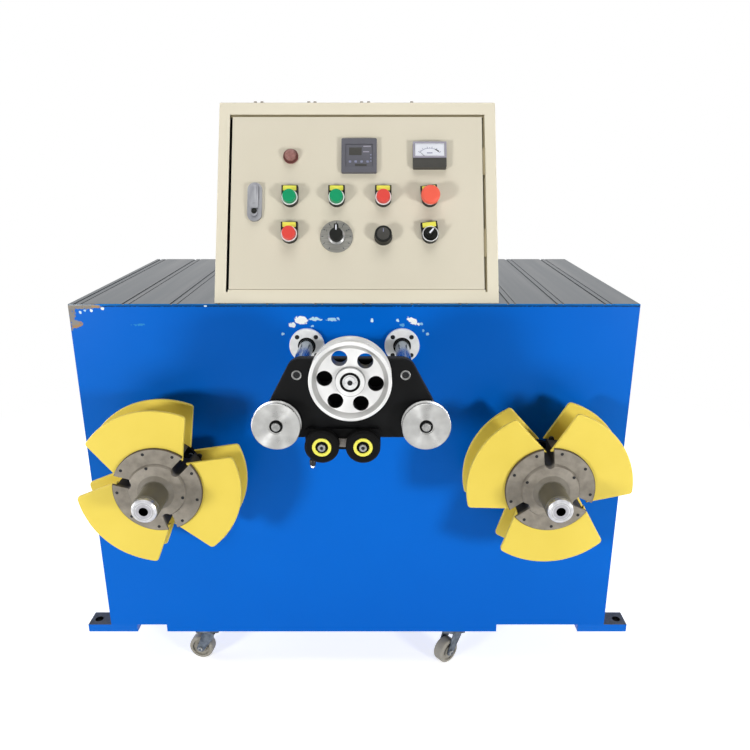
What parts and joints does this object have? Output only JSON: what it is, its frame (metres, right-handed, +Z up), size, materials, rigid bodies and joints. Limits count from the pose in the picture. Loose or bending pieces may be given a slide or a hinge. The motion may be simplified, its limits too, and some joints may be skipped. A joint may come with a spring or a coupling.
{
  "type": "wire coiling machine",
  "caption": "Blue steel cabinet wire coiler on castors with yellow-winged winding heads, a sliding wire guide and a beige sloped control console.",
  "frame": {"origin": "middle of the footprint of the whole machine, on the floor under the castors", "axes": "+X to the right as seen from the front, +Y from the winding heads into the cabinet, +Z up"},
  "size_m": [1.312, 0.888, 1.312],
  "materials": {
    "blue_paint": "gloss",
    "top_steel": "gloss",
    "beige_paint": "satin",
    "yellow_paint": "gloss",
    "drum_casting": "satin",
    "bright_steel": "polished",
    "turned_aluminium": "turned",
    "black_paint": "satin",
    "rod_chrome": "polished",
    "roller_rubber": "matte",
    "castor_steel": "dull",
    "castor_tread": "matte",
    "black_plastic": "matte",
    "grey_plastic": "matte",
    "red_plastic": "gloss",
    "green_plastic": "gloss",
    "lamp_red": "gloss",
    "dial_metal": "satin",
    "lock_zinc": "satin"
  },
  "bodies": {
    "base": {"front_plate": "blue_paint", "left_side_panel": "blue_paint", "right_side_panel": "blue_paint", "back_panel": "blue_paint", "floor_pan": "blue_paint", "top_plate": "top_steel", "foot_plates": "blue_paint", "castor_rails": "blue_paint", "castor_plates": "castor_steel", "console_box": "beige_paint", "door_hinges": "beige_paint", "rod_bushings": "bright_steel", "spindle_bearings": "black_paint"},
    "door": {"console_door": "beige_paint", "pilot_lamp": "lamp_red", "counter": "grey_plastic", "panel_meter": "black_plastic", "switch_holders": "black_plastic", "contact_blocks": "black_plastic", "dial_plate": "dial_metal", "door_lock": "lock_zinc"},
    "carriage": {"guide_rods": "rod_chrome", "guide_plate": "black_paint", "roller_bracket": "castor_steel", "guide_axles": "bright_steel"},
    "left_head": {"left_drum": "drum_casting", "left_front_wings": "yellow_paint", "left_rear_wings": "yellow_paint", "left_spindle": "bright_steel"},
    "right_head": {"right_drum": "drum_casting", "right_front_wings": "yellow_paint", "right_rear_wings": "yellow_paint", "right_spindle": "bright_steel"},
    "measuring_wheel": {"measuring_wheel": "turned_aluminium"},
    "left_pulley": {"left_pulley": "turned_aluminium"},
    "right_pulley": {"right_pulley": "turned_aluminium"},
    "left_roller": {"left_roller": "roller_rubber"},
    "right_roller": {"right_roller": "roller_rubber"},
    "left_start_button": {"left_start_button": "green_plastic"},
    "right_start_button": {"right_start_button": "green_plastic"},
    "stop_button": {"stop_button": "red_plastic"},
    "jog_button": {"jog_button": "red_plastic"},
    "stop_mushroom": {"stop_mushroom": "red_plastic"},
    "selector": {"selector": "black_plastic"},
    "pointer_knob": {"pointer_knob": "black_plastic"},
    "speed_knob": {"speed_knob": "black_plastic"},
    "left_front_castor_fork": {"left_front_castor_fork": "castor_steel"},
    "left_front_castor_wheel": {"left_front_castor_wheel": "castor_tread"},
    "right_front_castor_fork": {"right_front_castor_fork": "castor_steel"},
    "right_front_castor_wheel": {"right_front_castor_wheel": "castor_tread"},
    "left_back_castor_fork": {"left_back_castor_fork": "castor_steel"},
    "left_back_castor_wheel": {"left_back_castor_wheel": "castor_tread"},
    "right_back_castor_fork": {"right_back_castor_fork": "castor_steel"},
    "right_back_castor_wheel": {"right_back_castor_wheel": "castor_tread"}
  },
  "joints": [
    {"name": "door_swing", "type": "hinge", "parent": "base", "child": "door", "pos_m": [0.278, -0.087, 1.1095], "axis": [0, 0.4099, 0.9121], "range_deg": [0, 100]},
    {"name": "guide_traverse", "type": "slide", "parent": "base", "child": "carriage", "axis": [0, 1, 0], "range_m": [0, 0.15]},
    {"name": "left_head_spin", "type": "hinge", "parent": "base", "child": "left_head", "pos_m": [-0.405, -0.186, 0.546], "axis": [0, -1, 0], "continuous": true},
    {"name": "right_head_spin", "type": "hinge", "parent": "base", "child": "right_head", "pos_m": [0.405, -0.186, 0.546], "axis": [0, -1, 0], "continuous": true},
    {"name": "measuring_wheel_spin", "type": "hinge", "parent": "carriage", "child": "measuring_wheel", "pos_m": [0, -0.42, 0.819], "axis": [0, -1, 0], "continuous": true},
    {"name": "left_pulley_spin", "type": "hinge", "parent": "carriage", "child": "left_pulley", "pos_m": [-0.14, -0.41, 0.724], "axis": [0, -1, 0], "continuous": true},
    {"name": "right_pulley_spin", "type": "hinge", "parent": "carriage", "child": "right_pulley", "pos_m": [0.14, -0.41, 0.724], "axis": [0, -1, 0], "continuous": true},
    {"name": "left_roller_spin", "type": "hinge", "parent": "carriage", "child": "left_roller", "pos_m": [-0.055, -0.41, 0.686], "axis": [0, -1, 0], "continuous": true},
    {"name": "right_roller_spin", "type": "hinge", "parent": "carriage", "child": "right_roller", "pos_m": [0.022, -0.41, 0.686], "axis": [0, -1, 0], "continuous": true},
    {"name": "left_start_button_press", "type": "slide", "parent": "door", "child": "left_start_button", "axis": [0, 0.9121, -0.4099], "range_m": [0, 0.004], "stiffness_N_per_m": 600},
    {"name": "right_start_button_press", "type": "slide", "parent": "door", "child": "right_start_button", "axis": [0, 0.9121, -0.4099], "range_m": [0, 0.004], "stiffness_N_per_m": 600},
    {"name": "stop_button_press", "type": "slide", "parent": "door", "child": "stop_button", "axis": [0, 0.9121, -0.4099], "range_m": [0, 0.004], "stiffness_N_per_m": 600},
    {"name": "jog_button_press", "type": "slide", "parent": "door", "child": "jog_button", "axis": [0, 0.9121, -0.4099], "range_m": [0, 0.004], "stiffness_N_per_m": 600},
    {"name": "stop_mushroom_press", "type": "slide", "parent": "door", "child": "stop_mushroom", "axis": [0, 0.9121, -0.4099], "range_m": [0, 0.005]},
    {"name": "selector_turn", "type": "hinge", "parent": "door", "child": "selector", "pos_m": [0.16063, -0.11816, 1.04017], "axis": [0, -0.9121, 0.4099], "range_deg": [0, 80]},
    {"name": "pointer_turn", "type": "hinge", "parent": "door", "child": "pointer_knob", "pos_m": [-0.0382, -0.11897, 1.03835], "axis": [0, -0.9121, 0.4099], "range_deg": [-60, 60]},
    {"name": "speed_turn", "type": "hinge", "parent": "door", "child": "speed_knob", "pos_m": [0.06121, -0.11897, 1.03835], "axis": [0, -0.9121, 0.4099], "range_deg": [-150, 150]},
    {"name": "left_front_swivel", "type": "hinge", "parent": "base", "child": "left_front_castor_fork", "pos_m": [-0.368, -0.158, 0.08], "axis": [0, 0, 1], "continuous": true},
    {"name": "left_front_roll", "type": "hinge", "parent": "left_front_castor_fork", "child": "left_front_castor_wheel", "pos_m": [-0.38979, -0.15494, 0.03], "axis": [0.1392, 0.9903, 0], "continuous": true},
    {"name": "right_front_swivel", "type": "hinge", "parent": "base", "child": "right_front_castor_fork", "pos_m": [0.235, -0.158, 0.08], "axis": [0, 0, 1], "continuous": true},
    {"name": "right_front_roll", "type": "hinge", "parent": "right_front_castor_fork", "child": "right_front_castor_wheel", "pos_m": [0.21815, -0.17214, 0.03], "axis": [-0.6428, 0.766, 0], "continuous": true},
    {"name": "left_back_swivel", "type": "hinge", "parent": "base", "child": "left_back_castor_fork", "pos_m": [-0.368, 0.416, 0.08], "axis": [0, 0, 1], "continuous": true},
    {"name": "left_back_roll", "type": "hinge", "parent": "left_back_castor_fork", "child": "left_back_castor_wheel", "pos_m": [-0.38915, 0.40994, 0.03], "axis": [-0.2756, 0.9613, 0], "continuous": true},
    {"name": "right_back_swivel", "type": "hinge", "parent": "base", "child": "right_back_castor_fork", "pos_m": [0.235, 0.416, 0.08], "axis": [0, 0, 1], "continuous": true},
    {"name": "right_back_roll", "type": "hinge", "parent": "right_back_castor_fork", "child": "right_back_castor_wheel", "pos_m": [0.21506, 0.4067, 0.03], "axis": [-0.4226, 0.9063, 0], "continuous": true}
  ]
}
